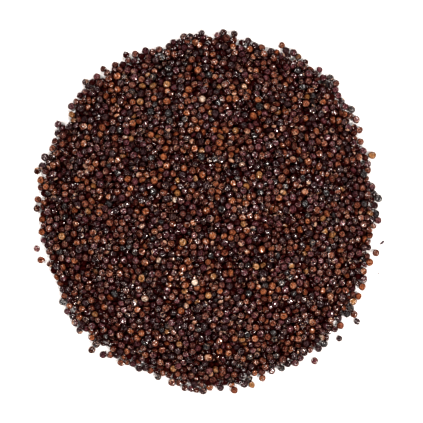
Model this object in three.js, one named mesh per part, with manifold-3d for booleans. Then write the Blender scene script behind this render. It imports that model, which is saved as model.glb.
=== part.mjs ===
// A heap of dry black quinoa, as it lies after it has been poured onto a flat surface.
//
// The heap is one solid with a flat underside. Its top is a low dome covered in bumps the size of
// seeds: each bump is a peak, and the gaps between three seeds are the valleys. Whole seeds are fused
// on where they show by themselves: the ones that rolled out from the rim, and loose ones on top.
//
// Units are millimetres and +Z is up. The origin is the middle of the heap's footprint, on the surface
// that it lies on.

import * as THREE from "three";
import { mergeVertices } from "three/addons/utils/BufferGeometryUtils.js";
import Module from "manifold-3d";

// The seeds: small thick discs with a blunt edge.
const SEED_DIAMETER = 2.0;
const SEED_THICKNESS = 1.2;
const SEED_SIDES = 7;
const SIZE_SPREAD = 0.1; // share by which a seed may be smaller or larger

// The heap.
const HEAP_RADIUS = 49.5;
const HEAP_HEIGHT = 12.5;
const DOME_POWER = 2.1; // 2 is a parabola; more is flatter on top and steeper at the rim
// Swellings of the outline: how many round it, how far out, and the bearing of the first.
const LOBES = [
  { count: 2, reach: 1.05, bearing: 90 },
  { count: 3, reach: 0.4, bearing: 56 },
  { count: 4, reach: 0.35, bearing: 50 },
  { count: 8, reach: 0.45, bearing: 43 },
  { count: 10, reach: 0.25, bearing: 20 },
];

// The relief of its top layer.
const PITCH = 2.55; // between neighbouring seeds, with the gaps of a loose layer
const RIM_INSET = 0.3; // the outermost of these seeds have their middles this far inside the outline
const CREST = 0.35; // how far the middle of a seed stands above the dome
const CREST_SPREAD = 0.4; // how much higher or lower than that it may stand
const GAP_DEPTH = 0.55; // how far the gaps lie below the dome
const LEAST_GAP_HEIGHT = 0.3; // the lowest gap inside the rim
const JITTER = 0.3; // random shift of each point, as a share of the lattice's step
const WAVE_REACH = 1.3; // slow waves that bend the lattice's rows, and their length
const WAVE_LENGTH = 43;

// Seeds that rolled out from the rim: the bearing of each in degrees, and how far its middle lies
// outside the outline.
const STRAYS = [
  [4, 0.9], [19, 1.0], [35, 0.5], [45, 1.3], [48, 1.1], [52, 0.7], [66, 0.9], [118, 0.6], [127, 0.7],
  [167, 1.4], [179, 0.5], [193, 1.7], [196, 1.4], [223, 0.8], [230, 2.3], [234, 1.3], [268, 1.2],
  [278, 1.5], [284, 0.8], [305, 2.1], [316, 2.1], [323, 3.2], [325, 1.4], [346, 1.1], [357, 0.8],
];
const SLIDE_STEP = 0.1; // a whole seed moves towards the heap by this until it holds on to it
const LEAST_HOLD = 0.04; // cubic millimetres that the two then share

// Loose seeds on top, spread by the golden angle.
const LOOSE_COUNT = 20;
const LOOSE_REACH = 0.9; // share of the outline's radius
const LOOSE_LIFT = 1.4; // their middles start this far above the dome, and sink
const LOOSE_TILT = 32; // degrees
const GOLDEN_ANGLE = 137.508;

const random = seededRandom(18);

const wasm = await Module();
wasm.setup();

// A small generator that gives the same numbers from 0 to 1 on every run.
function seededRandom(seed) {
  let state = seed;
  return () => {
    state = (state + 0x6d2b79f5) | 0;
    let mixed = Math.imul(state ^ (state >>> 15), 1 | state);
    mixed = (mixed + Math.imul(mixed ^ (mixed >>> 7), 61 | mixed)) ^ mixed;
    return ((mixed ^ (mixed >>> 14)) >>> 0) / 4294967296;
  };
}

// A random number between -reach and +reach.
function spread(reach) {
  return reach * (2 * random() - 1);
}

// The radius of the heap's outline at a bearing in radians.
function outlineRadius(bearing) {
  const swellings = LOBES.map(
    (lobe) => lobe.reach * Math.cos(lobe.count * (bearing - THREE.MathUtils.degToRad(lobe.bearing))),
  );
  return swellings.reduce((sum, swelling) => sum + swelling, HEAP_RADIUS);
}

// The height of the smooth dome over a point, which is 0 at the outline.
function domeHeight(x, y) {
  const share = Math.hypot(x, y) / outlineRadius(Math.atan2(y, x));
  return HEAP_HEIGHT * Math.max(0, 1 - share ** DOME_POWER);
}

// A closed geometry as a solid that can be joined to others.
function solidOf(geometry) {
  const bare = geometry.clone();
  bare.deleteAttribute("normal");
  bare.deleteAttribute("uv");
  const merged = mergeVertices(bare);
  return new wasm.Manifold(
    new wasm.Mesh({
      numProp: 3,
      vertProperties: merged.attributes.position.array,
      triVerts: new Uint32Array(merged.index.array),
    }),
  );
}

// A solid as a geometry with flat faces.
function geometryOf(solid) {
  const mesh = solid.getMesh();
  const indexed = new THREE.BufferGeometry();
  indexed.setAttribute("position", new THREE.BufferAttribute(mesh.vertProperties, 3));
  indexed.setIndex(new THREE.BufferAttribute(mesh.triVerts, 1));
  const faceted = indexed.toNonIndexed();
  faceted.computeVertexNormals();
  return faceted;
}

// The point of the bent and shaken lattice that belongs to column i and row j.
function latticePoint(i, j) {
  const step = PITCH / Math.sqrt(3);
  const x = step * (i + j / 2);
  const y = (step * j * Math.sqrt(3)) / 2;
  const turn = (2 * Math.PI) / WAVE_LENGTH;
  return new THREE.Vector2(
    x + WAVE_REACH * Math.sin(turn * (y + 0.3 * x)) + spread(JITTER * step),
    y + WAVE_REACH * Math.sin(turn * (x - 0.5 * y)) + spread(JITTER * step),
  );
}

// Every third point of a triangular lattice is the middle of a seed, and the six points round it are
// the gaps that it shares with its neighbours. Returns the points, and for each seed inside the
// outline its own point and its gaps, anticlockwise.
function seedLattice() {
  const ring = [[1, 0], [0, 1], [-1, 1], [-1, 0], [0, -1], [1, -1]];
  const reach = Math.ceil((1.3 * HEAP_RADIUS) / (PITCH / Math.sqrt(3)));
  const points = [];
  const numbers = new Map();
  for (let j = -reach; j <= reach; j++) {
    for (let i = -reach; i <= reach; i++) {
      numbers.set(`${i},${j}`, points.length);
      points.push(latticePoint(i, j));
    }
  }
  const seeds = [];
  for (let j = 1 - reach; j < reach; j++) {
    for (let i = 1 - reach; i < reach; i++) {
      const middle = numbers.get(`${i},${j}`);
      const { x, y } = points[middle];
      const inside = Math.hypot(x, y) < outlineRadius(Math.atan2(y, x)) - RIM_INSET;
      if ((i - j) % 3 === 0 && inside) {
        seeds.push({ middle, gaps: ring.map(([di, dj]) => numbers.get(`${i + di},${j + dj}`)) });
      }
    }
  }
  return { points, seeds };
}

// The points on the rim in order: each edge of a seed's ring of gaps that no neighbour shares.
function rimOf(seeds) {
  const edges = new Map();
  for (const { gaps } of seeds) {
    gaps.forEach((from, k) => edges.set(`${from},${gaps[(k + 1) % gaps.length]}`, from));
  }
  const next = new Map();
  for (const edge of edges.keys()) {
    const [from, to] = edge.split(",").map(Number);
    if (!edges.has(`${to},${from}`)) {
      next.set(from, to);
    }
  }
  const rim = [next.keys().next().value];
  while (next.get(rim.at(-1)) !== rim[0]) {
    rim.push(next.get(rim.at(-1)));
  }
  return rim;
}

// The dome with a bump for every seed of its top layer, closed by its flat underside.
function bumpyDome() {
  const { points, seeds } = seedLattice();
  const rim = rimOf(seeds);
  const heights = points.map(({ x, y }) => Math.max(LEAST_GAP_HEIGHT, domeHeight(x, y) - GAP_DEPTH));
  for (const { middle } of seeds) {
    const { x, y } = points[middle];
    const crest = domeHeight(x, y) + CREST + spread(CREST_SPREAD);
    heights[middle] = Math.max(crest, SEED_THICKNESS * (1 + spread(SIZE_SPREAD)));
  }
  for (const point of rim) {
    heights[point] = 0;
  }
  const top = seeds.flatMap(({ middle, gaps }) =>
    gaps.flatMap((gap, k) => [middle, gap, gaps[(k + 1) % gaps.length]]),
  );
  const underside = THREE.ShapeUtils.triangulateShape(rim.map((point) => points[point]), []);
  const geometry = new THREE.BufferGeometry();
  const positions = points.flatMap(({ x, y }, n) => [x, y, heights[n]]);
  geometry.setAttribute("position", new THREE.Float32BufferAttribute(positions, 3));
  geometry.setIndex([...top, ...underside.flatMap(([a, b, c]) => [rim[a], rim[c], rim[b]])]);
  return solidOf(geometry.toNonIndexed());
}

// One seed: a thick disc with flat spots on both faces and a blunt edge, standing on z = 0.
function seedGeometry(size) {
  const radius = (size * SEED_DIAMETER) / 2;
  const thickness = size * SEED_THICKNESS;
  const profile = [
    [0, 0],
    [0.55 * radius, 0],
    [radius, 0.5 * thickness],
    [0.55 * radius, thickness],
    [0, thickness],
  ];
  const lathe = new THREE.LatheGeometry(
    profile.map(([across, up]) => new THREE.Vector2(across, up)),
    SEED_SIDES,
  );
  return lathe.rotateX(Math.PI / 2).rotateZ(random() * Math.PI);
}

// The heap with a seed fused on, which moves along a step from where it starts until it holds.
function withSeed(heap, seed, start, step) {
  const place = start.clone();
  let placed = solidOf(seed.clone().translate(place.x, place.y, place.z));
  while (placed.intersect(heap).volume() < LEAST_HOLD) {
    place.add(step);
    placed = solidOf(seed.clone().translate(place.x, place.y, place.z));
  }
  return heap.add(placed);
}

// The heap with the strays, which lie flat and move inwards.
function withStrays(heap) {
  return STRAYS.reduce((joined, [bearing, outside]) => {
    const angle = THREE.MathUtils.degToRad(bearing);
    const outward = new THREE.Vector3(Math.cos(angle), Math.sin(angle), 0);
    const start = outward.clone().multiplyScalar(outlineRadius(angle) + outside);
    const seed = seedGeometry(1 + spread(SIZE_SPREAD));
    return withSeed(joined, seed, start, outward.multiplyScalar(-SLIDE_STEP));
  }, heap);
}

// The heap with loose seeds on its top, which are tilted at random and sink.
function withLooseSeeds(heap) {
  const tilt = THREE.MathUtils.degToRad(LOOSE_TILT);
  const down = new THREE.Vector3(0, 0, -SLIDE_STEP);
  let joined = heap;
  for (let n = 0; n < LOOSE_COUNT; n++) {
    const angle = THREE.MathUtils.degToRad(n * GOLDEN_ANGLE);
    const distance = LOOSE_REACH * outlineRadius(angle) * Math.sqrt((n + 0.5) / LOOSE_COUNT);
    const x = distance * Math.cos(angle);
    const y = distance * Math.sin(angle);
    const start = new THREE.Vector3(x, y, domeHeight(x, y) + LOOSE_LIFT);
    const seed = seedGeometry(1 + spread(SIZE_SPREAD)).translate(0, 0, -SEED_THICKNESS / 2);
    joined = withSeed(joined, seed.rotateX(spread(tilt)).rotateY(spread(tilt)), start, down);
  }
  return joined;
}

// A geometry moved sideways so that the middle of its footprint is over the origin.
function centred(geometry) {
  geometry.computeBoundingBox();
  const middle = geometry.boundingBox.getCenter(new THREE.Vector3());
  return geometry.translate(-middle.x, -middle.y, 0);
}

const darkBrown = new THREE.MeshStandardMaterial({ color: 0x3b221d, roughness: 0.5, metalness: 0 });
const solid = withLooseSeeds(withStrays(bumpyDome()));
const quinoa = new THREE.Mesh(centred(geometryOf(solid)), darkBrown);
quinoa.name = "quinoa_heap";

const heap = new THREE.Group();
heap.add(quinoa);

export default heap;
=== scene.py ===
# %% [markdown]
# # A heap of dry black quinoa
#
# Black quinoa is sold as a mix: most seeds are near black or plum, many are chestnut or russet, and
# a few are tan. Each is a thick little disc about 2 mm across, and a few spoonfuls poured onto a
# table lie as a low round dome with a ragged rim of single seeds.
#
# The whole dome could be one surface with a bumpy texture. Close up that reads as gravel, because
# real seeds overlap, tilt and leave black gaps. So this lesson packs nearly six thousand seeds over
# a dark core. The packed CAD solid gives the frame that they have to fit.

# %% The frame
import math
from types import SimpleNamespace

import bpy
import numpy as np
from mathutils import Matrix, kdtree


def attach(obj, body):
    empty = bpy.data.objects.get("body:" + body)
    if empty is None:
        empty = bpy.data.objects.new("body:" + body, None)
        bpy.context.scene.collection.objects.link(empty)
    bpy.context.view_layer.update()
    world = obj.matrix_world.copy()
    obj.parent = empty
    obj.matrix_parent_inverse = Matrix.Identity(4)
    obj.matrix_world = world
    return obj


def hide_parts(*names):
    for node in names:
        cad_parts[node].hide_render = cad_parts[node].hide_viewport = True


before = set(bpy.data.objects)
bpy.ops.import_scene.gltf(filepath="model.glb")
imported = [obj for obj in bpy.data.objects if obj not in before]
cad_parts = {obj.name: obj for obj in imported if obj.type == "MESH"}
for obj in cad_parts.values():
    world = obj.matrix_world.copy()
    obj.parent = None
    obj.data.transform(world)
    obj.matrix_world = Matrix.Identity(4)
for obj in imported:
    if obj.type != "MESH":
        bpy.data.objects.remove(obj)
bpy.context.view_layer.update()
chance = np.random.default_rng(20)  # one seeded source for everything random

# %% [markdown]
# ## The form of the heap
#
# Lengths are worked out in millimetres from the middle of the heap and turned into metres when a
# mesh is made. The outline is a circle with a few slow swellings, each a cosine of the bearing.
# Above it stands a dome a little fuller than a parabola, because loose seeds lie steepest near the
# rim. The whole form is one formula, so every later step can ask for the height or the slope
# anywhere.

# %% The outline and the dome
MM = 0.001
MIDDLE = (0.04, 0.62)  # the heap's middle in the frame, in millimetres
RADIUS = 49.5
HEIGHT = 12.5
FULLNESS = 2.1  # the power of the dome's curve: 2 would be a parabola
SWELLINGS = (  # how many go round, how far each reaches out, and the bearing of the first
    (2, 1.05, 90), (3, 0.4, 56), (4, 0.35, 50), (8, 0.45, 43), (10, 0.25, 20),
)


def outline(x, y):
    """The outline's radius at the bearing of a point."""
    bearing = np.arctan2(y, x)
    return RADIUS + sum(
        reach * np.cos(count * (bearing - math.radians(first))) for count, reach, first in SWELLINGS
    )


def inside(x, y):
    """How far a point lies inside the outline."""
    return outline(x, y) - np.hypot(x, y)


def dome(x, y):
    """The height of the dome over a point."""
    return HEIGHT * np.maximum(0, 1 - (np.hypot(x, y) / outline(x, y)) ** FULLNESS)


def unit(vectors):
    return vectors / np.linalg.norm(vectors, axis=-1, keepdims=True)


def dome_normals(x, y, step=0.05):
    """The direction that the dome faces over each point."""
    slope_x = (dome(x + step, y) - dome(x - step, y)) / (2 * step)
    slope_y = (dome(x, y + step) - dome(x, y - step)) / (2 * step)
    return unit(np.stack([-slope_x, -slope_y, np.ones_like(slope_x)], axis=-1))


near_rim = dome_normals(np.array([RADIUS - 3]), np.array([0.0]))[0]
rim_slope = math.degrees(math.acos(near_rim[2]))
print(f"dome {2 * RADIUS:.0f} mm across and {HEIGHT} mm high, {rim_slope:.0f} degrees at the rim")

# %% [markdown]
# ## Where the seeds start
#
# Only the outer three layers can be seen, so they are all that is made. Each layer starts as rows
# of seeds, each pushed well away from its place at random: pure chance would leave bald patches and
# clumps, and straight rows would show as a pattern. Near the rim the lower layers run into the
# table and stop, so the heap thins out to a single layer. The seeds that rolled away lie where they
# stopped: each has a bearing, a distance from the middle and a colour of its own.

# %% The numbers of the layers, and the strays
PITCH = 2.0
SHELL = 3.4  # the seeds fill this depth over the core
LAYER_DEPTHS = (0.5, 1.6, 2.75)
BOB = 0.45  # how far a seed may start above or below its layer
PITS = 0.02  # the share of the top layer that is left out, so that pits open
RAGGED = 0.4  # the share that is left out along the very rim
OUTERMOST, FRAYED, SECOND, THIN = 0.1, 0.5, 2.0, 2.4  # distances in from the outline, see below
ON_TABLE, PRESSED, ON_SEEDS = 0.6, 0.55, 1.6  # least height of a seed's middle in each case
TOO_LOW = 0.35  # lower seeds that would start below this are left out
STRAYS = (  # bearing in degrees, distance from the middle, colour
    (4.1, 48.6, "slate"), (18.7, 49.3, "tan"), (31.7, 49.5, "plum"), (35.3, 50.0, "slate"),
    (45.0, 51.4, "cocoa"), (47.5, 51.4, "slate"), (51.8, 51.2, "plum"), (59.8, 50.8, "tan"),
    (66.1, 51.6, "russet"), (98.2, 50.2, "black"), (117.9, 50.3, "plum"), (126.6, 50.4, "cocoa"),
    (167.0, 50.2, "tan"), (179.3, 49.0, "chestnut"), (192.5, 50.2, "plum"),
    (196.4, 49.9, "chestnut"), (222.9, 50.2, "black"), (230.0, 51.9, "chestnut"),
    (233.8, 51.0, "aubergine"), (258.0, 50.2, "cocoa"), (268.3, 51.5, "black"),
    (278.1, 51.8, "chestnut"), (283.9, 51.2, "tan"), (305.2, 52.5, "plum"),
    (310.9, 50.4, "slate"), (315.6, 52.2, "black"), (323.2, 52.9, "black"),
    (324.5, 51.0, "chestnut"), (345.8, 49.3, "chestnut"), (356.7, 48.5, "plum"),
)
print(len(STRAYS), "strays, the farthest", max(distance for _, distance, _ in STRAYS), "mm out")

# %% Three loose layers


def shaken_rows(shake=0.42):
    """Points in rows over the whole heap, each moved at random by up to a share of the pitch."""
    row_gap = PITCH * math.sqrt(3) / 2
    reach = int(1.2 * RADIUS / row_gap)
    row, column = np.mgrid[-reach:reach, -reach:reach]
    points = np.stack([PITCH * (column + 0.5 * (row % 2)), row_gap * row], axis=-1).reshape(-1, 2)
    return points + chance.uniform(-shake, shake, points.shape) * PITCH


def layer(depth):
    """The points of one layer. The top one reaches the rim, the second one nearly."""
    x, y = shaken_rows().T
    z = dome(x, y) - depth + chance.uniform(-BOB, BOB, len(x))
    from_rim = inside(x, y)
    if depth == LAYER_DEPTHS[0]:
        thinned = chance.random(len(x)) < np.where(from_rim < FRAYED, RAGGED, PITS)
        keep = (from_rim > OUTERMOST) & ~thinned
        lowest = np.where(from_rim > THIN, ON_SEEDS, ON_TABLE)
    else:
        keep = (z > TOO_LOW) | ((from_rim > SECOND) & (depth == LAYER_DEPTHS[1]))
        lowest = PRESSED
    return np.stack([x, y, np.maximum(z, lowest)], axis=-1)[keep]


def at(bearing, distance):
    """The x and y of a point, from its bearing in degrees and its distance."""
    turn = math.radians(bearing)
    return distance * math.cos(turn), distance * math.sin(turn)


layers = [layer(depth) for depth in LAYER_DEPTHS]
strays = np.array([(*at(bearing, distance), ON_TABLE) for bearing, distance, _ in STRAYS])
centres = np.concatenate([strays, *layers])
COUNT = len(centres)
is_stray = np.arange(COUNT) < len(strays)
print(COUNT, "seeds:", len(strays), "strays and", [len(points) for points in layers], "in layers")

# %% [markdown]
# ## The size and lie of each seed
#
# No two seeds match. Their width varies by some 7 per cent and their thickness by more. A seed is
# described by its half width, its half thickness and its axis, which is the direction that its flat
# faces look in. Poured seeds come to rest mostly on their flat side, so the axes scatter round the
# slope of the heap. One seed of the top layer has lost its dark hull. It is the first thing that
# the eye finds, so it is laid flat at a place of its own and held there.

# %% Sizes and axes
WIDTH_SPREAD, WIDTHS = 0.065, (0.82, 1.14)  # of the half width, in millimetres, and its limits
FLATNESS = 0.6  # a seed's thickness as a share of its width
FLATNESS_SPREAD, FLATNESSES = 0.045, (0.48, 0.72)
TUMBLE = 0.75  # how far the axes scatter
STRAY_TUMBLE = 0.15  # strays lie flatter: the share of that scatter that they keep
WHITEST = (-3.9, -20.1)  # the one seed that has lost its hull lies here, in full view
wide = np.clip(chance.normal(1.0, WIDTH_SPREAD, COUNT), *WIDTHS)
thick = wide * np.clip(chance.normal(FLATNESS, FLATNESS_SPREAD, COUNT), *FLATNESSES)
scatter = chance.normal(0, TUMBLE, (COUNT, 3)) * np.where(is_stray, STRAY_TUMBLE, 1)[:, None]
axes = unit(dome_normals(centres[:, 0], centres[:, 1]) + scatter)
axes *= np.sign(axes[:, 2:])  # of its two directions, each axis takes the one that looks up
top_layer = slice(len(strays), len(strays) + len(layers[0]))
white_seed = len(strays) + np.argmin(np.hypot(*(centres[top_layer, :2] - WHITEST).T))
centres[white_seed] = (*WHITEST, dome(*WHITEST) - 0.1)  # its middle is just below the dome
axes[white_seed] = dome_normals(*WHITEST)
is_held = is_stray | (np.arange(COUNT) == white_seed)
print(f"seeds {2 * wide.min():.2f} to {2 * wide.max():.2f} mm across")
print(f"and {2 * thick.mean():.2f} mm thick on average")

# %% [markdown]
# ## Letting the seeds settle
#
# Blender's rigid bodies could drop them, but thousands of touching discs take minutes and drift
# from run to run. This is a small solver instead, made for this one job. Each seed is an ellipsoid,
# and two of them touch where a simple formula of their offset and their two shapes reaches zero.
# Where they overlap, both move apart along the slope of that formula and turn out of each other's
# way. Between these corrections every seed is pulled a little towards the core, and at the rim
# towards the table. At the end the pull stops, so the last overlaps can open. The strays and the
# hull-less seed are held, and the others make room for them.

# %% Which seeds are near each other
REACH = 2.45  # two seeds farther apart than this can't touch


def neighbours(points):
    """Every pair of seeds that may touch, as two arrays of seed numbers."""
    tree = kdtree.KDTree(len(points))
    for number, point in enumerate(points):
        tree.insert(point, number)
    tree.balance()
    pairs = [
        (number, other)
        for number, point in enumerate(points)
        for _, other, _ in tree.find_range(point, REACH)
        if other > number
    ]
    return np.array(pairs).T


print(neighbours(centres).shape[1], "pairs of seeds are near each other at the start")

# %% How two seeds push each other
TURNING = 3.0  # how readily a seed turns compared with how readily it moves
loose = np.where(is_held, 0.0, 1.0)
squash = thick**2 - wide**2


def dot(one, other):
    return (one * other).sum(axis=1, keepdims=True)


def gathered(values, owners):
    """The sum of the values that belong to each seed."""
    return np.stack([np.bincount(owners, column, COUNT) for column in values.T], axis=-1)


def shape_matrices(numbers):
    """The matrix of each seed's ellipsoid: its squared half widths along its own axes."""
    own = axes[numbers]
    outer = own[:, :, None] * own[:, None, :]
    return wide[numbers, None, None] ** 2 * np.eye(3) + squash[numbers, None, None] * outer


def contacts(one, two):
    """The moves and turns that part overlapping seeds, and how many contacts each seed has."""
    offset = centres[two] - centres[one]
    slope = np.linalg.solve(shape_matrices(one) + shape_matrices(two), offset[:, :, None])[:, :, 0]
    gap = dot(offset, slope) / 2 - 1
    hit = gap[:, 0] < 0
    one, two, slope, gap = one[hit], two[hit], slope[hit], gap[hit]
    turn_one, turn_two = (
        -squash[seed, None] * dot(axes[seed], slope) * (slope - dot(axes[seed], slope) * axes[seed])
        for seed in (one, two)
    )
    free_one, free_two = loose[one, None], loose[two, None]
    give = (free_one + free_two) * dot(slope, slope) + TURNING * (
        free_one * dot(turn_one, turn_one) + free_two * dot(turn_two, turn_two)
    )
    push = -gap / (give + 1e-9)
    moves = gathered(free_two * push * slope, two) - gathered(free_one * push * slope, one)
    turns = gathered(free_one * push * turn_one, one) + gathered(free_two * push * turn_two, two)
    touches = np.bincount(one, minlength=COUNT) + np.bincount(two, minlength=COUNT)
    return moves, TURNING * turns, touches, gap


def off_surface(normals, clearance):
    """The moves and turns that lift seeds off a surface below them."""
    lean = dot(axes, normals)
    support = np.sqrt(wide[:, None] ** 2 + squash[:, None] * lean**2)
    dip = np.minimum(clearance[:, None] - support, 0)
    turn = -squash[:, None] * lean / support * (normals - lean * axes)
    push = -dip * loose[:, None] / (1 + TURNING * dot(turn, turn))
    return push * normals, TURNING * push * turn, dip[:, 0] < 0


first_gaps = contacts(*neighbours(centres))[3]
print(len(first_gaps), "pairs of seeds overlap before they settle")

# %% The settling
INWARD = 0.2  # at the rim the pull also draws seeds towards the heap, by this share
FLATTENING = 0.002  # how strongly weight lays a seed flat, each step
RIM_BAND = 8.0  # over this width at the rim, the pull turns from the core to the table
SEARCH_EVERY = 6  # steps before the neighbours are looked for again
EAGER = 1.5  # a seed with several contacts moves by this many times their average
LONGEST_MOVE, LONGEST_TURN = 0.12, 0.2  # in one step
TABLE = np.broadcast_to([0.0, 0.0, 1.0], (COUNT, 3))


def settle(steps, pull):
    """Moves and turns all seeds together, a little in each step."""
    global centres, axes
    for step in range(steps):
        if step % SEARCH_EVERY == 0:
            one, two = neighbours(centres)
        x, y, z = centres.T
        normals = dome_normals(x, y)
        on_core = np.clip(inside(x, y) / RIM_BAND, 0, 1)[:, None]
        outward = unit(centres * [1, 1, 0] + [1e-6, 0, 0])
        down = -unit(normals * on_core + (TABLE + INWARD * outward) * (1 - on_core))
        centres = centres + pull * loose[:, None] * down
        moves, turns, touches, gap = contacts(one, two)
        over_core = (centres[:, 2] - dome(x, y) + SHELL) * normals[:, 2]
        for surface, clearance in ((TABLE, centres[:, 2]), (normals, over_core)):
            move, turn, touch = off_surface(surface, clearance)
            moves += move
            turns += turn
            touches = touches + touch
        share = np.where(touches > 1, EAGER / np.maximum(touches, 1), 1.0)[:, None]
        centres = centres + np.clip(moves * share, -LONGEST_MOVE, LONGEST_MOVE)
        lay_flat = FLATTENING * loose[:, None] * normals * (pull > 0)
        axes = unit(axes + lay_flat + np.clip(turns * share, -LONGEST_TURN, LONGEST_TURN))
    print(f"{steps} steps with a pull of {pull}: mean overlap {-gap.mean() / 2:.3f} of a seed")


for steps, pull in ((60, 0.0), (150, 0.012), (70, 0.0)):  # part, pack, and part again
    settle(steps, pull)
resting = np.sqrt(wide**2 + squash * axes[:, 2] ** 2)
centres[is_stray, 2] = resting[is_stray]
print(f"highest seed reaches {np.max(centres[:, 2] + resting):.1f} mm")

# %% [markdown]
# ## Which seeds show
#
# About half of the seeds are buried or nearly so, and they need few faces. To find out which, each
# seed is drawn from straight above onto a fine grid that keeps the highest one at each place.
# Counting the cells that a seed wins gives the area of it that shows. A ray cast for each cell
# would do the same more slowly.

# %% The area of each seed that shows from above
CELL = 0.2  # width of a cell of the grid, in millimetres
HALF = 56.0  # half the width of the grid
WELL_SEEN, PARTLY_SEEN, GLIMPSED = 1.1, 0.5, 0.05  # square millimetres of a seed that show


def seen_from_above():
    """The area of each seed that nothing above it hides."""
    size = int(2 * HALF / CELL)
    tops = np.full((size, size), -1.0)
    owners = np.full((size, size), -1)
    for seed, inverse in enumerate(np.linalg.inv(shape_matrices(np.arange(COUNT)))):
        centre, reach = centres[seed], wide[seed]
        low = ((centre[:2] - reach + HALF) / CELL).astype(int)
        high = ((centre[:2] + reach + HALF) / CELL).astype(int) + 2
        spans = [(np.arange(a, b) + 0.5) * CELL - HALF - c for a, b, c in zip(low, high, centre)]
        x, y = np.meshgrid(*spans, indexing="ij")
        slope = inverse[0, 2] * x + inverse[1, 2] * y
        rest = inverse[0, 0] * x * x + 2 * inverse[0, 1] * x * y + inverse[1, 1] * y * y - 1
        root = slope**2 - inverse[2, 2] * rest
        top = centre[2] + (np.sqrt(np.maximum(root, 0)) - slope) / inverse[2, 2]
        window = (slice(low[0], high[0]), slice(low[1], high[1]))
        wins = (root > 0) & (top > tops[window])
        tops[window][wins] = top[wins]
        owners[window][wins] = seed
    return np.bincount(owners[owners >= 0], minlength=COUNT) * CELL**2


seen = seen_from_above()
print((seen > WELL_SEEN).sum(), "seeds show well and", (seen > GLIMPSED).sum(), "show at all")

# %% [markdown]
# ## The shape of a seed
#
# A quinoa seed is a disc with blunt sides. Its germ lies curled round the edge like a ring, so the
# flat faces are slightly hollow in the middle, and the germ's tip makes a small beak. The shape is
# a few rings of points from the middle of one face over the edge to the middle of the other. Rings
# are cheap and can be bent for each seed: some are a little oval, wedged, dented or lumpy, and dry
# faces ripple where they shrank. Seeds that show well get seven rings, glimpsed ones five and
# buried ones three.

# %% Rings of points and the faces between them
RINGS = {  # height of the middle, rings from there to the edge as (out, up), points in a ring
    "fine": (0.9, ((0.42, 0.93), (0.74, 0.76), (0.94, 0.38), (1.0, 0.0)), 14),
    "middling": (0.95, ((0.55, 0.88), (0.88, 0.48), (1.0, 0.0)), 10),
    "coarse": (1.0, ((0.75, 0.72), (1.0, 0.0)), 9),
}


def seed_pattern(pole, upper_rings, sides):
    """A seed of half width 1 and half thickness 1: its points, faces and place on a flat map."""
    rings = [*upper_rings, *((across, -up) for across, up in upper_rings[-2::-1])]
    turn = np.arange(sides) * 2 * math.pi / sides
    circle = np.stack([np.cos(turn), np.sin(turn)], axis=-1)
    ring_points = [np.column_stack([across * circle, np.full(sides, up)]) for across, up in rings]
    points = np.concatenate([[[0, 0, pole]], *ring_points, [[0, 0, -pole]]])
    side = np.arange(sides)
    following = (side + 1) % sides
    starts = 1 + sides * np.arange(len(rings))
    faces = [np.stack([0 * side, 1 + side, 1 + following], axis=-1)]
    for start, below in zip(starts, starts[1:]):
        faces.append(np.stack([start + side, below + side, below + following], axis=-1))
        faces.append(np.stack([start + side, below + following, start + following], axis=-1))
    bottom = np.full(sides, len(points) - 1)
    faces.append(np.stack([bottom, starts[-1] + following, starts[-1] + side], axis=-1))
    is_upper = np.repeat(np.arange(len(faces)) < 2 * len(upper_rings) - 1, sides)

    profile = np.array([(0.0, pole), *upper_rings]) * [1, FLATNESS]
    steps = np.hypot(*np.diff(profile, axis=0).T)
    spread = np.cumsum(steps) / sum(steps)
    ring_spread = np.repeat([*spread, *spread[-2::-1]], sides)
    flat = np.zeros((len(points), 2))
    flat[1:-1] = ring_spread[:, None] * np.tile(circle, (len(rings), 1))
    return {"points": points, "faces": np.concatenate(faces), "is_upper": is_upper, "flat": flat}


patterns = {name: seed_pattern(*rings) for name, rings in RINGS.items()}
print("triangles in a seed:", {name: len(made["faces"]) for name, made in patterns.items()})

# %% A bend of its own for every seed
OVALNESS, LUMPINESS, WEDGING = 0.035, 0.018, 0.1  # how strong these bends are on most seeds
DEEPEST_DENT = 0.3  # in the middle of a face, as a share of the half thickness
BEAKS = (0.02, 0.1)  # how far the germ's tip stands out, as a share of the half width
BEAK_ANGLE = 0.3  # how wide it is, in radians
RIPPLE = 0.05  # height of the ripples in the faces, as a share of the half thickness
RIPPLE_RATE = 6.5  # radians of the wave over a half width
oval, lump = np.abs(chance.normal(0, [[OVALNESS], [LUMPINESS]], (2, COUNT)))
wedge = chance.normal(0, WEDGING, COUNT)
dent = chance.uniform(0, DEEPEST_DENT, COUNT)
beak = chance.uniform(*BEAKS, COUNT)
oval_turn, lump_turn, wedge_turn = chance.uniform(0, 2 * math.pi, (3, COUNT))
ripple_x, ripple_y = chance.uniform(0, 2 * math.pi, (2, COUNT))
spin = unit(np.cross(axes, unit(chance.normal(0, 1, (COUNT, 3)))))


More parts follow.
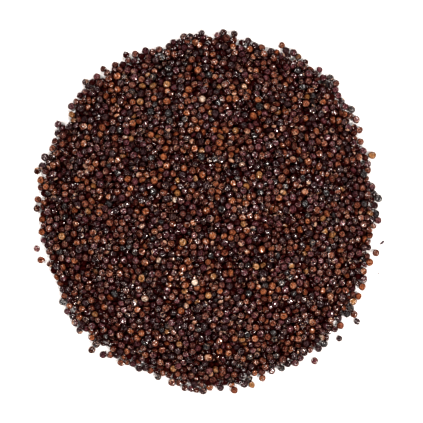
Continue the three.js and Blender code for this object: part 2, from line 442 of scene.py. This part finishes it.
def bent_seeds(numbers, pattern):
    """The points of these seeds where they lie, with one row for each seed."""
    x, y, up = pattern["points"].T
    turn, across = np.arctan2(y, x), np.hypot(x, y)
    each = numbers[:, None]
    stretch = 1 + oval[each] * np.cos(2 * (turn - oval_turn[each]))
    stretch = stretch + lump[each] * np.cos(3 * (turn - lump_turn[each]))
    stretch = stretch + beak[each] * np.exp(-((turn / BEAK_ANGLE) ** 2)) * across**3
    height = up * (1 + wedge[each] * across * np.cos(turn - wedge_turn[each]))
    height = height * (1 - dent[each] * (1 - across**2) ** 2)
    ripples = np.sin(RIPPLE_RATE * x + ripple_x[each]) * np.sin(RIPPLE_RATE * y + ripple_y[each])
    height = height + RIPPLE * ripples
    along, sideways = spin[each], np.cross(axes, spin)[each]
    moved = centres[each] + wide[each, None] * stretch[:, :, None] * (
        x[:, None] * along + y[:, None] * sideways
    )
    moved = moved + (thick[each] * height)[:, :, None] * axes[each]
    below = np.maximum(0, -moved[:, :, 2].min(axis=1, keepdims=True))
    moved[:, :, 2] += below  # so none reaches into the table
    return moved


print(f"ovals up to {200 * oval.max():.0f} per cent longer than wide")

# %% [markdown]
# ## How closed in each point is
#
# Light reaches the faces that stand out and not the narrow places where seeds touch, but the lamps
# alone leave those gaps too pale. So shade is painted into them: each point of a seed gets a number
# for how closed in it is, 0 in the open and nearly 1 in a tight corner, and the hull is darkened by
# it. It comes from the distance to the ellipsoid of each neighbour, and counts less for neighbours
# that lie lower. A seed that lies deeper than its neighbours, in a pit, is closed in all over, so
# it is painted in shade all over.

# %% The painted shade that neighbours give
CLOSE = 0.3  # gaps up to about this wide are close, as a share of a seed's half width
PIT_DEPTH = 0.8  # a seed this far below its neighbours, in millimetres, is in a full pit
PIT_SHADE = 0.85  # how closed in it is there
FADE = 1.2  # over this difference in height, a neighbour goes from counting in full to nothing
near_pairs = neighbours(centres)
near_pairs = np.concatenate([near_pairs, near_pairs[::-1]], axis=1)
ellipsoids = np.linalg.inv(shape_matrices(np.arange(COUNT)))
crowns = centres[:, 2] + resting - dome(*centres[:, :2].T)  # each seed's top over the dome
beside = near_pairs[:, seen[near_pairs[1]] > PARTLY_SEEN]
count_beside = np.maximum(1, np.bincount(beside[0], minlength=COUNT))
crowns_beside = np.bincount(beside[0], crowns[beside[1]], COUNT) / count_beside
pit = np.clip((crowns_beside - crowns) / PIT_DEPTH, 0, 1)
print("how deep in a pit seeds lie:", np.percentile(pit[seen > PARTLY_SEEN], [50, 75, 90]).round(2))


def painted_gap_shade(numbers, spots):
    """How closed in each point of these seeds is, as the amount of painted shade, with one row for
    each seed.
    """
    row = np.full(COUNT, -1)
    row[numbers] = np.arange(len(numbers))
    own, other = near_pairs[:, row[near_pairs[0]] >= 0]
    offset = spots[row[own]] - centres[other][:, None, :]
    distance = np.sqrt(np.einsum("pvi,pij,pvj->pv", offset, ellipsoids[other], offset)) - 1
    above = np.clip(0.5 - offset[:, :, 2] / FADE, 0, 1)
    open_share = np.ones(spots.shape[:2])
    np.multiply.at(open_share, row[own], 1 - np.exp(-np.maximum(distance, 0) / CLOSE) * above)
    return 1 - open_share * (1 - PIT_SHADE * pit[numbers, None])


in_view = np.flatnonzero(seen > WELL_SEEN)
edge_points = patterns["fine"]["points"][:, 2] == 0
view_painted_gap_shade = painted_gap_shade(in_view, bent_seeds(in_view, patterns["fine"]))
print("shelter of the middles that show:", np.percentile(view_painted_gap_shade[:, 0], [10, 50, 90]).round(2))
print("and of the edges:", np.percentile(view_painted_gap_shade[:, edge_points], [10, 50, 90]).round(2))

# %% [markdown]
# ## Sorting the seeds by colour
#
# The mix is what makes the heap look right, so each colour is its own piece with its own finish:
# black, slate, aubergine, plum, cocoa, chestnut, russet, tan and pale. Within a piece each seed
# still has a tone of its own. On some seeds the dark hull is chipped along one side and the pale
# inner coat shows as a bright crescent. All of that is stored on the mesh as one set of four
# numbers at each point, which the finish reads: the seed's tone, its dustiness, how far a point is
# inside the chip, and how far it is from the middle of the face.

# %% The mix, and the seeds whose colour is known
# each kind's edge colour is painted shade for the rim of the seed, darker than its hull
KINDS = {  # name: share of the mix, dull end, bright end, edge, share of chipped seeds
    "black": (0.223, (0.006, 0.001, 0.001), (0.050, 0.027, 0.031), (0.018, 0.001, 0.001), 0.2),
    "slate": (0.05, (0.007, 0.004, 0.004), (0.050, 0.050, 0.053), (0.012, 0.003, 0.002), 0.2),
    "aubergine": (0.13, (0.011, 0.001, 0.001), (0.087, 0.035, 0.043), (0.028, 0.001, 0.001), 0.2),
    "plum": (0.14, (0.016, 0.001, 0.001), (0.124, 0.047, 0.056), (0.037, 0.001, 0.001), 0.2),
    "cocoa": (0.15, (0.018, 0.002, 0.001), (0.137, 0.056, 0.043), (0.041, 0.002, 0.001), 0.2),
    "chestnut": (0.145, (0.036, 0.006, 0.002), (0.194, 0.072, 0.043), (0.051, 0.003, 0.001), 0.25),
    "russet": (0.13, (0.090, 0.022, 0.008), (0.262, 0.097, 0.043), (0.070, 0.008, 0.002), 0.3),
    "tan": (0.03, (0.140, 0.060, 0.022), (0.290, 0.150, 0.062), (0.085, 0.024, 0.005), 0.4),
    "pale": (0.002, (0.230, 0.150, 0.105), (0.580, 0.490, 0.410), (0.150, 0.045, 0.018), 0.5),
}
MARKED = (  # a point on the heap, and the colour and tone of the seed there
    (-3.9, -20.1, "pale", 1.7), (-18.6, -24.7, "pale", 0.3), (-10.1, 3.0, "pale", 0.2),
    (-23.2, 20.7, "pale", 0.1), (5.7, -33.6, "pale", 0.1), (-1.3, 31.5, "pale", 0.1),
    (8.7, 12.9, "pale", 0.3), (-13.1, -14.3, "pale", 0.1), (-41.0, 26.9, "tan", 0.7),
    (32.7, -35.5, "pale", 0.1), (22.8, -17.3, "slate", 0.7),
)
PALE_TONES = 0.3  # pale seeds stay near the dull end of their colour, up to this tone
STRAY_TONES = 0.4  # painted light: strays lie in the open and are made lighter for it, their tones starting here
LARGEST_CHIP = 0.45  # how far a chip may reach in, as a share of the half width
NO_CHIP = 3.0  # starts farther out than any point of a seed
names = list(KINDS)
kinds = chance.choice(len(names), COUNT, p=[share for share, *_ in KINDS.values()])
kinds[is_stray] = [names.index(name) for _, _, name in STRAYS]
tone = chance.random(COUNT) * np.where(kinds == names.index("pale"), PALE_TONES, 1.0)
tone[is_stray] = STRAY_TONES + (1 - STRAY_TONES) * tone[is_stray]


def mark(x, y, name, own_tone):
    """Gives the seed that shows best near a point this colour and tone."""
    nearest = np.argmin(np.hypot(centres[:, 0] - x, centres[:, 1] - y) - seen)
    kinds[nearest] = names.index(name)
    tone[nearest] = own_tone
    return centres[nearest, :2].round(1)


for marked in MARKED:
    print(marked[2], "wanted at", marked[:2], "stands at", mark(*marked))

# %% Dust and chips
dusty = chance.random(COUNT)
chip_side = unit(chance.normal(0, 1, (COUNT, 3)) * [1, 1, 0.5])  # more often on the edge
is_chipped = chance.random(COUNT) < np.array([chipped for *_, chipped in KINDS.values()])[kinds]
chip_start = np.where(is_chipped, 1 - LARGEST_CHIP * chance.random(COUNT) ** 2, NO_CHIP)
print({name: int((kinds == number).sum()) for number, name in enumerate(names)})

# %% [markdown]
# ## A short way to write a finish
#
# A finish is a tree of shader nodes, and its maths reads best as plain expressions. The class below
# wraps a socket, so that 1 - mask or noise * 0.2 adds its Math node by itself. Colours and vectors
# don't go through Math nodes, which would turn them grey: they have their own methods, and any
# other node comes from one method that sets the node's settings first and its sockets after.

# %% The socket that can calculate
class Wire:
    def __init__(self, tree, socket=None):
        self.tree = tree
        self.socket = socket

    def node(self, kind, settings, sockets, output=0):
        """Adds a node, and gives back one of its outputs."""
        node = self.tree.nodes.new(kind)
        for name, value in settings.items():
            setattr(node, name, value)
        for name, value in sockets.items():
            if isinstance(value, Wire):
                self.tree.links.new(value.socket, node.inputs[name])
            else:
                node.inputs[name].default_value = value
        return Wire(self.tree, node.outputs[output])

    def maths(self, operation, first, second=0.0):
        return self.node("ShaderNodeMath", {"operation": operation}, {0: first, 1: second})

    def __add__(self, other):
        return self.maths("ADD", self, other)

    def __sub__(self, other):
        return self.maths("SUBTRACT", self, other)

    def __rsub__(self, other):
        return self.maths("SUBTRACT", other, self)

    def __mul__(self, other):
        return self.maths("MULTIPLY", self, other)

    __radd__ = __add__
    __rmul__ = __mul__

    def fraction(self):
        return self.maths("FRACT", self)

    def between(self, low, high):
        """0 below low, 1 above high, and smooth in between."""
        return self.node(
            "ShaderNodeMapRange", {"interpolation_type": "SMOOTHSTEP"}, {0: self, 1: low, 2: high}
        )

    def blend(self, first, second):
        """The first colour where this is 0 and the second where it is 1."""
        first, second = ((*c, 1) if isinstance(c, tuple) else c for c in (first, second))
        return self.node("ShaderNodeMix", {"data_type": "RGBA"}, {0: self, 6: first, 7: second}, 2)

    def shaded(self, strength):
        """This colour made darker or brighter."""
        return self.node("ShaderNodeVectorMath", {"operation": "SCALE"}, {0: self, 3: strength})

    def noise(self, scale, detail=2.0):
        """Soft random patches, laid out by this vector."""
        sockets = {"Vector": self, "Scale": scale, "Detail": detail}
        return self.node("ShaderNodeTexNoise", {}, sockets)

    def bump(self, distance, strength=1.0):
        """Normals bent as if this were a relief of that height."""
        sockets = {"Strength": strength, "Distance": distance, "Height": self}
        return self.node("ShaderNodeBump", {}, sockets)


def new_material(name):
    """A material with one Principled shader, its nodes' first wire and the shader."""
    material = bpy.data.materials.new(name)
    material.use_nodes = True
    shader = material.node_tree.nodes["Principled BSDF"]
    return material, Wire(material.node_tree), shader


def plug(shader, values):
    """Sets a shader's sockets: a wire is linked, and a number is set on the socket itself."""
    for name, value in values.items():
        if isinstance(value, Wire):
            value.tree.links.new(value.socket, shader.inputs[name])
        else:
            shader.inputs[name].default_value = value


print("a plain number may also come first in", [name for name in vars(Wire) if "__r" in name])

# %% [markdown]
# ## The hull of a seed
#
# The hull is thin and matt. It is mottled, painted in shade where it turns round the edge, and a
# little paler over the curled germ. Dry seeds rub against each other, so some carry a bloom of pale
# dust and small worn places. Where neighbours close in, shade is painted over all of that: the hull
# turns a very dark red. The wrinkles are a few hundredths of a millimetre deep, which is work for a
# bump and not for faces.
#
# Patches of wax are left on the hull, and they glint. A glossy coat over everything would follow
# the smooth form and flash over a whole flat face at once. So the shine is a second shader with
# strongly dented normals, and a mask mixes it in where the wax is: then each seed has a few specks
# of light. One recipe makes all nine finishes. Only the three colours change: the dull and the
# bright end of the hull, and the painted shade at its edge.

# %% What a finish reads from each seed
GERM = (0.3, 0.55, 0.65, 0.85)  # the germ's ring rises from the first to the second, and so on down
BLOOM = 0.15  # how much of the colour is dust on the dustiest seeds


def readings(wire):
    """The numbers stored on the mesh, and the patterns that follow from them."""
    stored = wire.node("ShaderNodeAttribute", {"attribute_name": "seed"}, {}, "Color")
    tone_part, dust_part, chip_part = (
        wire.node("ShaderNodeSeparateColor", {}, {0: stored}, part) for part in range(3)
    )
    across = wire.node("ShaderNodeAttribute", {"attribute_name": "seed"}, {}, "Alpha")
    place = wire.node("ShaderNodeAttribute", {"attribute_name": "place"}, {}, "Vector")
    mottle = place.noise(1.3, 1.0).between(0.34, 0.66)
    wrinkle = place.noise(2.6, 1.0).between(0.3, 0.66)
    return SimpleNamespace(
        tone=tone_part,
        dust=dust_part,
        chip=chip_part,
        across=across,
        place=place,
        closed=wire.node("ShaderNodeAttribute", {"attribute_name": "painted_gap_shade"}, {}, "Fac"),
        mottle=mottle,
        wrinkle=wrinkle,
        over_germ=across.between(*GERM[:2]) * (1 - across.between(*GERM[2:])),
        powder=dust_part.between(0.3, 1.0) * wrinkle * mottle * BLOOM,
    )


print("the germ's ring is full from", GERM[1], "to", GERM[2], "of the half width")

# %% The colour of the hull
DUST = (0.17, 0.10, 0.08)
PAINTED_SHADE_RED = (0.019, 0.0002, 0.0002)  # painted shade: the hull's colour in the gaps, laid over its dust and wear
DEEP = (0.01, 0.31)  # the closeness over which that painted shade comes in
DEEPEST = 0.97  # and its share in the end
PLAINNESS = 0.37  # how much less a bright colour is shaded by the hull's own pattern


def hull_colour(seed, dull, bright, edge):
    """The hull with its mottling and its dust, painted shade at its edge and painted shade in the
    gaps.
    """
    plain = PLAINNESS * sum(bright)
    germ_light = seed.over_germ * (0.1 + seed.dust.between(0.5, 1.0) * 0.3)
    shade = 0.42 + 0.5 * plain + germ_light + seed.wrinkle * (0.82 - plain)
    mix = seed.tone * 0.4 + seed.mottle * 0.35 + seed.wrinkle * 0.6 - 0.17
    colour = mix.blend(dull, bright).shaded(shade)
    # painted shade round the edge of each seed, darker still where neighbours close in
    edge_shade = seed.across.between(0.6, 1.0) * (seed.closed.between(0.0, 0.1) * 0.25 + 0.65)
    colour = seed.powder.blend(edge_shade.blend(colour, edge), DUST)
    # painted shade in the gaps: the hull turns very dark red where it is closed in
    return (seed.closed.between(*DEEP) * DEEPEST).blend(colour, PAINTED_SHADE_RED)


brightest, darkest = KINDS["pale"][2], KINDS["black"][2]
print(f"pale hulls are {sum(brightest) / sum(darkest):.0f} times as bright as black ones")

# %% The worn places and the wax
PALE_COAT = (0.38, 0.24, 0.17)


def some_seeds(number, times, low, high):
    """1 on a share of the seeds, picked by a number that each of them carries."""
    return (number * times).fraction().between(low, high)


def bare_places(seed):
    """Where the pale coat shows: in chips, in rubbed spots and along the germ of a few seeds."""
    chipped = (seed.chip + seed.wrinkle * 0.3 - 0.15).between(0.0, 0.06)
    rubbed = seed.place.noise(3.2, 0.0).between(0.66, 0.7) * some_seeds(seed.tone, 5.0, 0.6, 0.75)
    ringed = seed.over_germ * some_seeds(seed.dust, 7.0, 0.95, 0.98) * seed.mottle.between(0.3, 0.8)
    return chipped + rubbed * 0.9 + ringed * 0.7


def waxy_places(seed):
    """Where wax glints: in patches on most seeds, but not in the gaps."""
    patches = seed.place.noise(2.4, 0.0).between(0.45, 0.55)
    return patches * some_seeds(seed.tone, 9.0, 0.0, 0.4) * (1 - seed.closed.between(0.3, 0.9))


print("coat under the hull:", PALE_COAT)

# %% The finish of each colour of seed
WRINKLE_DEPTH = 0.03 * MM
FACET_DEPTH = 0.16 * MM  # of the dents that break the wax into specks
MATT = {"IOR": 1.45, "Specular IOR Level": 0.02}
SHINE = {"IOR": 1.6, "Specular IOR Level": 0.87, "Roughness": 0.16}


def hull(name, dull, bright, edge):
    """Matt hull and shining wax in one material."""
    material, wire, matte = new_material(f"{name}_hull")
    seed = readings(wire)
    bare = bare_places(seed)
    coat = (seed.mottle * 0.6 + 0.35).blend(bright, PALE_COAT)
    colour = bare.blend(hull_colour(seed, dull, bright, edge), coat)
    wrinkles = (seed.wrinkle + bare * 0.6).bump(WRINKLE_DEPTH, 0.6)
    plug(matte, {"Base Color": colour, "Roughness": 0.5 + seed.powder * 0.5, "Normal": wrinkles})
    plug(matte, MATT)
    facets = seed.place.noise(2.0, 0.0).bump(FACET_DEPTH)
    wax_sockets = {"Base Color": colour, "Normal": facets, **SHINE}
    wax = wire.node("ShaderNodeBsdfPrincipled", {}, wax_sockets)
    mixed = {0: waxy_places(seed), 1: Wire(wire.tree, matte.outputs[0]), 2: wax}
    surface = wire.node("ShaderNodeMixShader", {}, mixed)
    wire.tree.links.new(surface.socket, wire.tree.nodes["Material Output"].inputs["Surface"])
    return material


finishes = {name: hull(name, *colours) for name, (_, *colours, _) in KINDS.items()}
print(len(finishes), "finishes of", len(finishes["black"].node_tree.nodes), "nodes each")

# %% [markdown]
# ## Joining the seeds of each colour
#
# Thousands of separate objects would be slow and hard to handle, and instances can't be bent one by
# one. So the seeds of one colour are written as one mesh, straight from arrays. The mesh also gets
# a map on which every seed has a small tile of its own, with its two faces side by side as flat
# discs. The seeds that show get the larger tiles, so a texture baked onto the map is sharp where it
# counts.

# %% A place on the map for every face
BANDS = {"fine": (0.16, 1.0), "middling": (0.02, 0.16), "coarse": (0.0, 0.02)}  # heights on the map
DISC = (0.235, 0.46)  # half the width and half the height of a face, as a share of its tile


def on_map(pattern, count, low, high):
    """A place on the map for each corner of each seed's faces, with the seeds in rows of tiles."""
    columns = math.ceil(math.sqrt(count / (2 * (high - low))))
    rows = math.ceil(count / columns)
    tile = np.array([1 / columns, (high - low) / rows])
    number = np.arange(count)
    corner = np.stack([number % columns, number // columns], axis=-1) * tile + [0, low]
    flat = pattern["flat"][pattern["faces"]]
    face_side = np.where(pattern["is_upper"][:, None, None], 1, -1) * [1, 0] + [0, 1]
    middle = np.where(pattern["is_upper"][:, None, None], [0.25, 0.5], [0.75, 0.5])
    in_tile = middle + flat * face_side * DISC
    return corner[:, None, None, :] + in_tile * tile


one_of_many = on_map(patterns["fine"], 1000, *BANDS["fine"])[0]
print("one seed of a thousand covers", np.ptp(one_of_many, axis=(0, 1)).round(3), "of the map")

# %% One mesh from many seeds
detail_needed = np.select([seen > WELL_SEEN, seen > GLIMPSED], ["fine", "middling"], "coarse")
own_noise = chance.uniform(0, 60, (COUNT, 3))  # where each seed's pattern lies in the noise


def stored_numbers(numbers, pattern):
    """Tone, dust, chip and distance from the middle for each point of each seed."""
    points = pattern["points"]
    across = np.hypot(points[:, 0], points[:, 1])
    chip = chip_side[numbers] @ points.T - chip_start[numbers, None]
    columns = [tone[numbers, None], dusty[numbers, None], chip, across]
    return np.stack([np.broadcast_to(column, chip.shape) for column in columns], axis=-1)


def new_mesh(name, points, faces):
    """A smooth mesh, from points in millimetres round the middle of the heap."""
    mesh = bpy.data.meshes.new(name)
    mesh.from_pydata((points + [*MIDDLE, 0]) * MM, [], faces)
    mesh.shade_smooth()
    return mesh


def joined(name, numbers):
    """One mesh of these seeds, each with as many faces as it needs."""
    points, faces, tiles, stored, places, closed = [], [], [], [], [], []
    for detail, pattern in patterns.items():
        some = numbers[detail_needed[numbers] == detail]
        if len(some) == 0:
            continue
        starts = sum(map(len, points)) + len(pattern["points"]) * np.arange(len(some))
        spots = bent_seeds(some, pattern)
        points.append(spots.reshape(-1, 3))
        faces.append((starts[:, None, None] + pattern["faces"]).reshape(-1, 3))
        tiles.append(on_map(pattern, len(some), *BANDS[detail]).reshape(-1, 2))
        stored.append(stored_numbers(some, pattern).reshape(-1, 4))
        local = pattern["points"] * [1, 1, FLATNESS] + own_noise[some, None]
        places.append(local.reshape(-1, 3))
        closed.append(painted_gap_shade(some, spots).ravel())
    mesh = new_mesh(name, np.concatenate(points), np.concatenate(faces))
    mesh.uv_layers.new(name="OFBake").data.foreach_set("uv", np.concatenate(tiles).ravel())
    for attribute, kind, field, values in (
        ("seed", "FLOAT_COLOR", "color", stored),
        ("place", "FLOAT_VECTOR", "vector", places),
        ("painted_gap_shade", "FLOAT", "value", closed),
    ):
        written = mesh.attributes.new(attribute, kind, "POINT")
        written.data.foreach_set(field, np.concatenate(values).ravel())
    return mesh


def added(name, mesh, material):
    """A piece that stands for the CAD heap, from a finished mesh."""
    mesh.materials.append(material)
    piece = bpy.data.objects.new(name, mesh)
    bpy.context.collection.objects.link(piece)
    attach(piece, "root")
    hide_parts("quinoa_heap")
    return piece


for number, name in enumerate(names):
    numbers = np.flatnonzero(kinds == number)
    piece = added(f"{name}_seeds", joined(f"{name}_seeds", numbers), finishes[name])
    print(piece.name, len(numbers), "seeds", len(piece.data.polygons), "triangles")

# %% [markdown]
# ## The core
#
# What can't be seen needs no seeds. The core is a plain dome that fills the heap below the three
# layers, so that no light comes through from beneath and the gaps between seeds stay dark. It is a
# disc of rings pushed up to the dome's form less the depth of the layers, with a shallow random
# relief, and its skin has the colour of seeds in deep shade.

# %% The core under the seeds
CORE_RINGS = 48
CORE_SIDES = 110
# near the rim this dark skin shows between the single seeds as painted shade
CORE_SHARE = 0.95  # of the outline's radius: farther out the seeds lie on the table
CORE_RELIEF = 0.3
CORE_FOOT, CORE_BOTTOM = 0.25, 0.05  # heights of its upper and its lower rim


def core_mesh():
    ring, side = np.mgrid[1 : CORE_RINGS + 1, 0:CORE_SIDES]
    turn = side * 2 * math.pi / CORE_SIDES
    direction = np.cos(turn), np.sin(turn)
    reach = outline(*direction) * CORE_SHARE * ring / CORE_RINGS
    x, y = reach * direction[0], reach * direction[1]
    z = np.maximum(dome(x, y) - SHELL + chance.uniform(-CORE_RELIEF, 0.0, x.shape), CORE_FOOT)
    upper = np.stack([x, y, z], axis=-1).reshape(-1, 3)
    lower_rim = np.stack([x[-1], y[-1], np.full(CORE_SIDES, CORE_BOTTOM)], axis=-1)
    points = np.concatenate([[[0, 0, HEIGHT - SHELL]], upper, lower_rim])
    faces = [(0, 1 + a, 1 + (a + 1) % CORE_SIDES) for a in range(CORE_SIDES)]
    for start in range(1, 1 + CORE_RINGS * CORE_SIDES, CORE_SIDES):
        for a in range(CORE_SIDES):
            b = (a + 1) % CORE_SIDES
            faces.append((start + a, start + CORE_SIDES + a, start + CORE_SIDES + b, start + b))
    faces.append(tuple(range(len(points) - 1, len(points) - 1 - CORE_SIDES, -1)))
    return new_mesh("heap_core", points, faces)


def core_finish():
    material, wire, shader = new_material("painted_shade_core")
    grain = wire.node("ShaderNodeTexCoord", {}, {}, "Object").noise(900.0, 3.0)
    # painted shade: the core has the colour of seeds in deep shade, darker than the seeds' own mix
    colour = grain.between(0.35, 0.65).blend((0.012, 0.001, 0.001), (0.045, 0.006, 0.004))
    relief = grain.bump(0.3 * MM, 0.8)
    plug(shader, {"Base Color": colour, "Roughness": 0.6 + grain * 0.3, "Normal": relief})
    plug(shader, {"Specular IOR Level": 0.02})
    return material


core = added("heap_core", core_mesh(), core_finish())
print("core", len(core.data.polygons), "faces, top at", round(HEIGHT - SHELL, 1), "mm")

# %% [markdown]
# ## Two scraps of husk
#
# Poured seeds always shed a little. One torn bit of hull lies clear of the heap on the right, with
# a crumb of it nearly a centimetre off. They are far too small for a modifier to be worth while:
# each is one of the seed patterns from above, pressed flat, stretched and curled up a little at its
# ends.

# %% The bits of husk
HUSK_BITS = (  # bearing and distance from the middle, length, width, thickness, direction
    (349.5, 50.4, 1.7, 0.6, 0.3, 36.0),
    (339.6, 51.7, 0.42, 0.28, 0.2, 5.0),
)
TAPER, BOW, CURL = 0.25, 0.35, 0.8  # longer on one side, bowed along its length, ends turned up


def husk_bit(bearing, distance, length, width, thickness, direction):
    """The points of one bit, pressed out of a seed's pattern."""
    x, y, up = patterns["middling"]["points"].T
    x = x * (1 + TAPER * y)
    y = y + BOW * x**2 - 0.15  # and moved back, so that the bow stays about the middle
    along, sideways = x * length / 2, y * width / 2
    height = thickness / 2 * (1 + up + CURL * x**2)
    cos, sin = at(direction, 1)
    middle_x, middle_y = at(bearing, distance)
    place_x = middle_x + along * cos - sideways * sin
    place_y = middle_y + along * sin + sideways * cos
    return np.stack([place_x, place_y, height - height.min()], axis=-1)


def husk_mesh():
    points = [husk_bit(*bit) for bit in HUSK_BITS]
    starts = [len(points[0]) * number for number in range(len(points))]
    faces = [patterns["middling"]["faces"] + start for start in starts]
    return new_mesh("husk_bits", np.concatenate(points), np.concatenate(faces))


def husk_finish():
    material, wire, shader = new_material("torn_husk")
    fibre = wire.node("ShaderNodeTexCoord", {}, {}, "Object").noise(2500.0)
    colour = fibre.between(0.35, 0.65).blend((0.012, 0.005, 0.010), (0.110, 0.060, 0.080))
    relief = fibre.bump(0.03 * MM, 0.5)
    plug(shader, {"Base Color": colour, "Roughness": 0.5 + fibre * 0.2, "Normal": relief})
    return material


husk = added("husk_bits", husk_mesh(), husk_finish())
print(husk.name, "are", " and ".join(str(length) for _, _, length, *_ in HUSK_BITS), "mm long")

# %% [markdown]
# ## The table, the light and the camera
#
# The heap lies on a plain white table. Four lamps stand round it, the strongest on the right, all
# at half height: from straight above they would turn the flat faces grey. They are small, so that
# each speck of wax gives a small bright glint, and the ceiling is dark, so that the gaps between
# the seeds stay dark. The surroundings shouldn't look dark from a low viewpoint, so the studio has
# a low pale wall all round, painted on the sky, and the table glows by itself farther out, where it
# can't light the heap. The camera looks straight down, so the dome shows as a disc.

# %% The table
TABLE_HALF = 2.0  # half its width, in metres
GLOW = (0.3, 0.8)  # metres from the middle where the table's own glow starts and where it is full


def table():
    mesh = bpy.data.meshes.new("table")
    corners = [(TABLE_HALF * x, TABLE_HALF * y, 0) for x, y in ((-1, -1), (1, -1), (1, 1), (-1, 1))]
    mesh.from_pydata(corners, [], [(0, 1, 2, 3)])
    material, wire, shader = new_material("white_table")
    where = wire.node("ShaderNodeTexCoord", {}, {}, "Object")
    tint = where.noise(12.0).blend((0.88, 0.88, 0.88), (0.92, 0.92, 0.92))
    plug(shader, {"Base Color": tint, "Roughness": 0.9, "Specular IOR Level": 0.1})
    distance = wire.node("ShaderNodeVectorMath", {"operation": "LENGTH"}, {0: where}, "Value")
    glow = distance.between(*GLOW).blend((0.0, 0.0, 0.0), (1.0, 1.0, 1.0))
    plug(shader, {"Emission Color": glow, "Emission Strength": 1.0})
    mesh.materials.append(material)
    piece = bpy.data.objects.new("table", mesh)
    bpy.context.collection.objects.link(piece)
    return piece


print("stage:", table().name)

# %% The lamps
LAMP_HEIGHT = 46  # degrees above the table
LAMP_DISTANCE = 0.75  # metres from the middle of the heap
LAMPS = (  # name, bearing, power, size, colour
    ("right", -28, 6.6, 0.13, (1.0, 0.92, 0.87)),
    ("left", 155, 3.9, 0.15, (1.0, 0.93, 0.89)),
    ("back", 75, 3.3, 0.2, (1.0, 0.95, 0.92)),
    ("front", 250, 2.5, 0.2, (1.0, 0.95, 0.92)),
)


def lamp(name, bearing, power, size, colour):
    """A square lamp at a bearing in degrees, facing the heap."""
    light = bpy.data.lights.new(name, "AREA")
    light.color = colour
    light.shape = "SQUARE"
    light.size = size
    light.energy = power
    out, up = at(LAMP_HEIGHT, LAMP_DISTANCE)  # seen from the side, the height is a bearing too
    fixture = bpy.data.objects.new(name, light)
    fixture.location = (*at(bearing, out), up)
    tilt, turn = math.radians(90 - LAMP_HEIGHT), math.radians(bearing + 90)
    fixture.rotation_euler = (tilt, 0, turn)
    bpy.context.collection.objects.link(fixture)
    return light


power = sum(lamp(*described).energy for described in LAMPS)
print(f"{len(LAMPS)} lamps of {power:.1f} watts together")

# %% The dark ceiling and the low pale wall
WALL_TOP = (0.11, 0.14)  # the wall fades out between these sines of the angle over the horizon
DARK_ROOM = 0.005  # the brightness of all that is above it
world = bpy.data.worlds.new("studio")
world.use_nodes = True
direction = Wire(world.node_tree).node("ShaderNodeTexCoord", {}, {}, "Generated")
upward = direction.node("ShaderNodeSeparateXYZ", {}, {0: direction}, "Z")
wall = upward.between(*WALL_TOP).blend((1.0, 1.0, 1.0), (DARK_ROOM,) * 3)
plug(world.node_tree.nodes["Background"], {"Color": wall, "Strength": 1.0})
scene = bpy.context.scene
scene.world = world
scene.view_settings.view_transform = "Standard"
scene.view_settings.gamma = 0.83
print(f"the wall is {math.degrees(math.asin(WALL_TOP[1])):.0f} degrees high")

# %% The camera
FIELD = 120.9 * MM  # width of table in view
AIM = (0.86 * MM, 0.36 * MM)  # the heap lies a little off the middle of the view
CAMERA_HEIGHT = 0.6
camera_data = bpy.data.cameras.new("from_above")
camera_data.sensor_width = 36.0
camera_data.lens = camera_data.sensor_width * CAMERA_HEIGHT / FIELD
camera = bpy.data.objects.new("from_above", camera_data)
camera.location = (*AIM, CAMERA_HEIGHT)
bpy.context.collection.objects.link(camera)
bpy.context.scene.camera = camera
print(f"camera {CAMERA_HEIGHT} m up with a {camera_data.lens:.0f} mm lens")

# %% [markdown]
# ## The size
#
# The seeds have to stay in the room that the CAD heap gives them.
